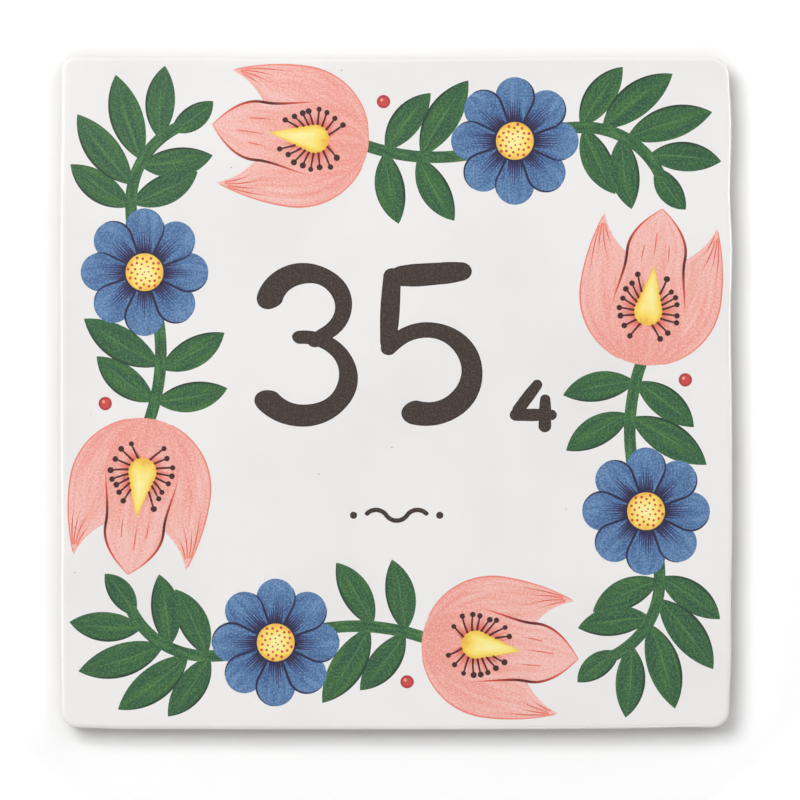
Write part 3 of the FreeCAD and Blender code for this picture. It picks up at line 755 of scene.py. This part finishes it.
yellow, tree, shader, _ = glaze_over("yellow_underglaze_middle")
mottle = streaks(tree, 4.0, 4.0, 3.0)
wander = add(tree, "MapRange", {0: mottle, 1: 0.3, 2: 0.7, 3: -0.15, 4: 0.15})
gathered = add(tree, "Math", {0: out_to_rim(tree), 1: wander.outputs[0]}, operation="ADD")
butter = add(tree, "ValToRGB", {"Fac": gathered.outputs[0]},
             [(0.2, YELLOW_PALE), (0.7, YELLOW), (0.97, YELLOW_RIM)])
tree.links.new(butter.outputs[0], shader.inputs["Base Color"])
centre_piece = object_from(centres, "yellow_middles", yellow)
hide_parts("centre_print")
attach(centre_piece, "root")

# The seed dots and stalks: dark brown stalks with a round head that fan out from each tulip's drop,
# with red between them, and red dots on each daisy's middle, touched on with the brush's point.
DOT_LEVEL, STALK_LEVEL, GLOW_LEVEL = -8.0445, -8.039, -8.032
STALK_BROWN, STALK_HEAD, GLOW_RED = "#4A1A10", "#3A130C", "#E2604F"
DOT_RED, DOT_CORAL = "#C2403F", "#D95A48"
STALK_ANGLES = (26, 42, 58, 75, 93, 112, 133, 156)
STALK_TAPER, GLOW_TAPER, GLOW_LEANS = (0.26, 0.18), (0.5, 0.02), (-7, 6)
DOT_COUNT, DOT_SPREAD, DOT_TURN, DOT_FROM_RIM = 34, 0.66, 137.5, 0.4


def lay_dot(colours, place, x, z, radius, level, tone):
    """A round dot of colour, a little out of round."""
    squeeze = 0.08 * (brush.random() - 0.5)
    line = drawn_line((x - radius, z), 0, (2 * radius, 0))
    lay_stroke(colours, place, line, disc_half_width(radius * (1 + squeeze)), level, tone, 12, 2)


stalks = bmesh.new()
glow = bmesh.new()
for place_on_face in tulip_places:
    heart_place = place_on_face @ turned_to(HEART_HEIGHT, 0, 0)
    for side in (1, -1):
        for angle in STALK_ANGLES:
            off_tangent = max(0, math.degrees(heart_lean) - angle)
            reach = HEART_RADIUS / math.cos(math.radians(off_tangent))
            heading = side * (angle * 0.92 + 5 * (brush.random() - 0.5))
            start = Matrix.Rotation(math.radians(side * angle), 2) @ Vector((reach - 0.1, 0))
            length = 3.0 + 1.1 * brush.random()
            stalk = drawn_line(start, heading, (length, side * 24 * (brush.random() - 0.6)))
            taper = tapered(*STALK_TAPER)
            lay_stroke(stalks, heart_place, stalk, taper, STALK_LEVEL, 0.4, 14, 1)
            head, size = stalk(1)[0], 0.56 + 0.14 * brush.random()
            lay_dot(stalks, heart_place, head.x, head.y, size, DOT_LEVEL, 0.9)
            for lean in GLOW_LEANS:
                turned = Matrix.Rotation(math.radians(side * (angle + lean)), 2)
                ray = (2.6 + 2.6 * brush.random(), 0)
                line = drawn_line(turned @ Vector((reach - 0.6, 0)), heading + side * lean, ray)
                lay_stroke(glow, heart_place, line, tapered(*GLOW_TAPER), GLOW_LEVEL,
                           brush.random(), 12, 1)
dots = bmesh.new()
for place_on_face in daisy_places:
    for count in range(DOT_COUNT):
        spread = DOT_SPREAD * math.sqrt(count)
        if spread < DAISY_CENTRE_RADIUS - DOT_FROM_RIM:
            turn = math.radians(DOT_TURN * count)
            x, z = spread * math.cos(turn), spread * math.sin(turn)
            size = 0.16 + 0.05 * spread
            lay_dot(dots, place_on_face, x, z, size, DOT_LEVEL, brush.random())

brown, tree, shader, _ = glaze_over("dark_brown_underglaze_line")
umber = add(tree, "ValToRGB", {"Fac": tone_of(tree)}, [(0.4, STALK_BROWN), (0.9, STALK_HEAD)])
tree.links.new(umber.outputs[0], shader.inputs["Base Color"])
stalk_piece = object_from(stalks, "tulip_stalks", brown)
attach(stalk_piece, "root")
glow_red, tree, shader, _ = glaze_over("red_underglaze_touch")
along, _ = shares_of(tree)
blush = add(tree, "ValToRGB", {"Fac": along}, [(0.1, GLOW_RED), (0.9, CORAL)])
tree.links.new(blush.outputs[0], shader.inputs["Base Color"])
glow_piece = object_from(glow, "tulip_blush", glow_red)
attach(glow_piece, "root")
dot_red, tree, shader, _ = glaze_over("red_underglaze_dot")
reds = add(tree, "ValToRGB", {"Fac": tone_of(tree)}, [(0.0, DOT_RED), (1.0, DOT_CORAL)])
tree.links.new(reds.outputs[0], shader.inputs["Base Color"])
dot_piece = object_from(dots, "daisy_dots", dot_red)
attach(dot_piece, "root")

# The berries: round dots of red beside the vine, darker where the colour gathers at the rim, each
# with a paler touch at its upper left.
BERRY_RADIUS, BERRY_ASIDE, BERRY_LEVEL = 1.5, 10.5, -8.014
TOUCH_RADIUS, TOUCH_OFF, TOUCH_LEVEL = 0.34, 0.4, BERRY_LEVEL - 0.004
BERRY_RED, BERRY_DARK, BERRY_TOUCH = "#CB4746", "#9E2B30", "#F2A090"
berries = bmesh.new()
for side in range(4):
    spot, angle = gap_vine(0)
    spot += BERRY_ASIDE * Vector((-math.sin(angle), math.cos(angle)))
    quarter = turned_to(0, 0, 90 * side)
    lay_dot(berries, quarter, spot.x, spot.y, BERRY_RADIUS, BERRY_LEVEL, 0.5)
    spot = quarter @ Vector((spot.x, 0, spot.y))
    x, z = spot.x - TOUCH_OFF, spot.z + TOUCH_OFF
    lay_dot(berries, Matrix(), x, z, TOUCH_RADIUS, TOUCH_LEVEL, 1.0)

berry_red, tree, shader, _ = glaze_over("red_underglaze_berry")
crimson = add(tree, "ValToRGB", {"Fac": out_to_rim(tree)}, [(0.5, BERRY_RED), (0.98, BERRY_DARK)])
is_touch = add(tree, "Math", {0: tone_of(tree), 1: 0.8}, operation="GREATER_THAN")
touched = blend(tree, is_touch.outputs[0], crimson.outputs[0], paint(BERRY_TOUCH))
tree.links.new(touched, shader.inputs["Base Color"])
berry_piece = object_from(berries, "berries", berry_red)
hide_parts("berry_print")
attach(berry_piece, "root")

# The number: plain numerals brushed by hand in dark brown, with a fine darker line round each, and
# a small plain wave with two dots below them. The brown is grainy where the white shows through.
NUMERAL_LEVEL, NUMERAL_FILL_LEVEL, EDGE_LINE, DRAWN_TALL = -8.020, -8.024, 0.2, 36.6
INK_BROWN, INK_EDGE, INK_GRAIN = "#33261F", "#1C1311", ("#5C4B42", "#1F1612")
numerals = bmesh.new()


def brush_numeral(left, bottom, tall, breadth, strokes):
    """Lays each stroke twice: dark to its full width, and a little narrower in the brown over it. A
    stroke is its start and heading, its moves, and its half widths along the way, in a numeral
    drawn DRAWN_TALL, which is then made tall and broad as asked."""
    scale = tall / DRAWN_TALL
    corner = Matrix.Translation((left, 0, bottom)) @ Matrix.Diagonal((scale * breadth, 1, scale, 1))
    for start, heading, moves, widths in strokes:
        length = sum(run for run, _ in moves)

        def half_width(share, inset=0.0):
            spot = share * (len(widths) - 1)
            step = min(len(widths) - 2, int(spot))
            ease = (1 - math.cos(math.pi * (spot - step))) / 2
            half = widths[step] + (widths[step + 1] - widths[step]) * ease - inset / scale
            return half * math.sqrt(
                max(0, 1 - max(0, 1 - (min(share, 1 - share) * length - inset / scale) / half) ** 2)
            )

        line = drawn_line(start, heading, *moves)
        lay_stroke(numerals, corner, line, half_width, NUMERAL_LEVEL, 0.0, 80)
        lay_stroke(numerals, corner, line, lambda share: max(0, half_width(share, EDGE_LINE)),
                   NUMERAL_FILL_LEVEL, 1.0, 80)


THREE = [
    ((3.0, 26.2), 96, [(31.2, -243), (4.4, 12)], (2.6, 2.5, 1.9, 1.6, 1.5)),
    ((7.6, 19.6), 14, [(40.6, -262)], (1.5, 1.6, 2.0, 2.5, 2.6)),
]
FIVE = [
    ((4.8, 34.2), 2, [(16.8, 5)], (2.1, 2.5, 2.4, 1.9)),
    ((5.3, 36.0), -94, [(18.0, 2)], (1.8, 2.0, 1.7)),
    ((3.4, 17.2), 52, [(4.6, -14), (40.4, -250)], (1.6, 1.7, 2.1, 2.5, 2.7)),
]
FOUR = [
    ((21.4, 36.4), -128, [(30.4, 2)], (3.6, 4.2, 4.2)),
    ((-0.4, 12.0), 0, [(33.6, 0)], (4.2, 4.4, 3.6)),
    ((25.0, 26.6), -91, [(27.0, 0)], (3.6, 4.4, 4.6)),
]
brush_numeral(-31.5, -7.4, 36.0, 1.15, THREE)
brush_numeral(-6.3, -8.9, 37.0, 1.07, FIVE)
brush_numeral(25.6, -8.9, 11.4, 1.0, FOUR)
WAVE_RUN, WAVE_TURN, WAVE_START, WAVE_HALF = 5.4, 110, (-6.6, -27.5), 0.5
WAVE_DOTS, WAVE_DOT_RADIUS = (-9.3, 9.9), 0.8
swings = [(WAVE_RUN, turn) for turn in (-WAVE_TURN, WAVE_TURN, -WAVE_TURN)]
wave = drawn_line(WAVE_START, WAVE_TURN / 2, *swings)
wave_width = round_ended(WAVE_HALF, 3 * WAVE_RUN)
lay_stroke(numerals, Matrix(), wave, wave_width, NUMERAL_LEVEL, 1.0, 60)
for x in WAVE_DOTS:
    lay_dot(numerals, Matrix(), x, WAVE_START[1], WAVE_DOT_RADIUS, NUMERAL_LEVEL, 1.0)

ink, tree, shader, place = glaze_over("dark_brown_underglaze_numeral")
brown = blend(tree, tone_of(tree), paint(INK_EDGE), paint(INK_BROWN))
grained = with_grain(tree, brown, place, INK_GRAIN, 0.6)
tree.links.new(grained, shader.inputs["Base Color"])
numeral_piece = object_from(numerals, "numerals", ink)
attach(numeral_piece, "root")

# The setting: a plain white wall that the tile is set against, and which catches its soft shadow,
# and a pale floor well below. The wall starts from the tile's own outline, so that the back is open
# to the light, and is seen through from behind.
WALL_SINK, WALL_SPREAD, FLOOR_HALF, FLOOR_DROP = 0.0006, 27, 2.0, 0.95
WALL_WHITE, FLOOR_PALE, FLOOR_LIFT, WORLD_LIGHT = "#E6E6E6", "#E6E6E5", 0.4, 0.21
# How far out from the tile the painted contact shadow on the wall reaches, and how dark it is at
# the tile.
CONTACT_SHADE_REACH, CONTACT_SHADE_DARK = 0.006, 0.44
WHITE_FROM, WHITE_FULL, WALL_LIFT = 0.115, 0.17, 0.03
PLAIN_WHITE = (1, 1, 1, 1)


def bare_material(name):
    """A material with no nodes yet, and its tree."""
    material = bpy.data.materials.new(name)
    material.use_nodes = True
    material.node_tree.nodes.clear()
    return material, material.node_tree


wall_kit = bmesh.new()
wall_kit.from_mesh(tile.data)
bmesh.ops.bisect_plane(
    wall_kit,
    geom=wall_kit.verts[:] + wall_kit.edges[:] + wall_kit.faces[:],
    plane_co=(0, -WALL_SINK, 0),
    plane_no=(0, 1, 0),
    clear_inner=True,
    clear_outer=True,
)
in_the_key = [v for v in wall_kit.verts if max(abs(v.co.x), abs(v.co.z)) < (KEY_REACH + 2) / 1000]
bmesh.ops.delete(wall_kit, geom=in_the_key, context="VERTS")
spread = bmesh.ops.extrude_edge_only(wall_kit, edges=wall_kit.edges[:])["geom"]
bmesh.ops.scale(
    wall_kit,
    vec=(WALL_SPREAD, 1, WALL_SPREAD),
    verts=[part for part in spread if isinstance(part, bmesh.types.BMVert)],
)
wall_kit.normal_update()
bmesh.ops.reverse_faces(wall_kit, faces=[face for face in wall_kit.faces if face.normal.y > 0])
wall_white, tree = bare_material("matt_white_wall")
seen = add(tree, "LightPath")
matt = add(tree, "BsdfDiffuse", {"Color": paint(WALL_WHITE)})
# Painted contact shadow: where the wall meets the tile, its colour is darkened on every side by how
# much of it the tile hides close by.
tile_occlusion = add(tree, "AmbientOcclusion", {"Distance": CONTACT_SHADE_REACH}, samples=16)
painted_contact_shade = add(tree, "MapRange", {0: tile_occlusion.outputs["AO"], 3: CONTACT_SHADE_DARK, 4: 1.0})
white_with_painted_shade = add(tree, "BsdfDiffuse", {"Color": painted_contact_shade.outputs[0]})
# Past the shadow it is white, however far it is from the lamps.
place = add(tree, "TexCoord").outputs["Object"]
from_middle = add(tree, "VectorMath", {0: place}, operation="LENGTH").outputs["Value"]
white_out = add(tree, "MapRange",
                {0: from_middle, 1: WHITE_FROM, 2: WHITE_FULL, 3: WALL_LIFT, 4: 1.0})
lift = add(tree, "Emission", {"Color": PLAIN_WHITE, "Strength": white_out.outputs[0]})
lifted = add(tree, "AddShader", {0: white_with_painted_shade.outputs[0], 1: lift.outputs[0]})
by_camera = seen.outputs["Is Camera Ray"]
front = add(tree, "MixShader", {0: by_camera, 1: matt.outputs[0], 2: lifted.outputs[0]})
turned_away = add(tree, "NewGeometry").outputs["Backfacing"]
from_back = add(tree, "Math", {0: turned_away, 1: by_camera}, operation="MULTIPLY")
clear = add(tree, "BsdfTransparent")
wall_surface = add(tree, "MixShader",
                   {0: from_back.outputs[0], 1: front.outputs[0], 2: clear.outputs[0]})
add(tree, "OutputMaterial", {"Surface": wall_surface.outputs[0]})
wall = object_from(wall_kit, "wall", wall_white, unit=1)

floor_kit = bmesh.new()
floor_place = Matrix.Translation((0, 0, -FLOOR_DROP))
bmesh.ops.create_grid(floor_kit, x_segments=1, y_segments=1, size=FLOOR_HALF, matrix=floor_place)
floor_pale, tree = bare_material("matt_pale_floor")
matt = add(tree, "BsdfDiffuse", {"Color": paint(FLOOR_PALE)})
seen = add(tree, "LightPath")
lift_shown = add(tree, "MapRange", {0: seen.outputs["Is Camera Ray"], 3: 0.0, 4: FLOOR_LIFT})
lift = add(tree, "Emission", {"Color": PLAIN_WHITE, "Strength": lift_shown.outputs[0]})
floor_surface = add(tree, "AddShader", {0: matt.outputs[0], 1: lift.outputs[0]})
add(tree, "OutputMaterial", {"Surface": floor_surface.outputs[0]})
floor = object_from(floor_kit, "floor", floor_pale, unit=1)

world = bpy.data.worlds.new("studio_white")
bpy.context.scene.world = world
world.use_nodes = True
tree = world.node_tree
seen = add(tree, "LightPath")
shown = seen.outputs["Is Camera Ray"]
for ray in ("Is Transmission Ray", "Is Glossy Ray"):
    shown = add(tree, "Math", {0: shown, 1: seen.outputs[ray]}, operation="MAXIMUM").outputs[0]
strength = add(tree, "MapRange", {0: shown, 3: WORLD_LIGHT, 4: 1.0})
tree.links.new(strength.outputs[0], tree.nodes["Background"].inputs["Strength"])
tree.nodes["Background"].inputs["Color"].default_value = PLAIN_WHITE


def softbox(name, spot, aim, width, height, power, only_gloss=False):
    """A rectangular soft light that points at aim and isn't seen itself, or only in the gloss."""
    data = bpy.data.lights.new(name, "AREA")
    data.shape = "RECTANGLE"
    data.size, data.size_y, data.energy = width, height, power
    lamp = bpy.data.objects.new(name, data)
    lamp.location = spot
    lamp.rotation_euler = (Vector(aim) - Vector(spot)).to_track_quat("-Z", "Y").to_euler()
    lamp.visible_camera = False
    lamp.visible_diffuse = not only_gloss
    bpy.context.scene.collection.objects.link(lamp)


softbox("key_light", (-0.65, -1.45, 0.65), (0, 0, 0), 0.9, 0.9, 20.8)
softbox("right_fill", (0.40, -0.45, 0.50), (0, 0, 0), 0.5, 0.5, 1.2)
softbox("left_strip", (-0.60, -0.07, 0.10), (0, 0, 0), 0.08, 0.5, 0.5)
softbox("right_strip", (0.60, -0.05, 0.22), (0, 0, 0), 0.08, 0.4, 0.9)
softbox("left_gleam", (-0.60, -0.09, 0.08), (0, 0, 0.08), 0.12, 0.34, 2.2, only_gloss=True)
softbox("right_gleam", (0.60, -0.06, 0.12), (0, 0, 0.12), 0.07, 0.26, 1.4, only_gloss=True)
softbox("low_strip", (0.10, -0.05, -0.60), (0, 0, 0), 0.4, 0.08, 0.7)
softbox("back_fill", (0.3, 0.9, 0.5), (0, 0, 0), 0.6, 0.6, 9.5)

# The camera stands straight in front of the tile, a little off its middle, as in the photograph.
LENS, SENSOR, PIXELS, PIXELS_PER_MM = 200.0, 36.0, 800, 4.494
TILE_MIDDLE_AT = (395.3, 391.7)
camera_data = bpy.data.cameras.new("camera")
camera_data.lens, camera_data.sensor_width = LENS, SENSOR
camera = bpy.data.objects.new("camera", camera_data)
stand_off = PIXELS / PIXELS_PER_MM * LENS / SENSOR
camera.location = Vector((
    (PIXELS / 2 - TILE_MIDDLE_AT[0]) / PIXELS_PER_MM,
    -TILE_DEPTH - stand_off,
    (TILE_MIDDLE_AT[1] - PIXELS / 2) / PIXELS_PER_MM,
)) / 1000
camera.rotation_euler = (math.radians(90), 0, 0)
bpy.context.scene.collection.objects.link(camera)
bpy.context.scene.camera = camera
bpy.context.scene.view_settings.view_transform = "Standard"
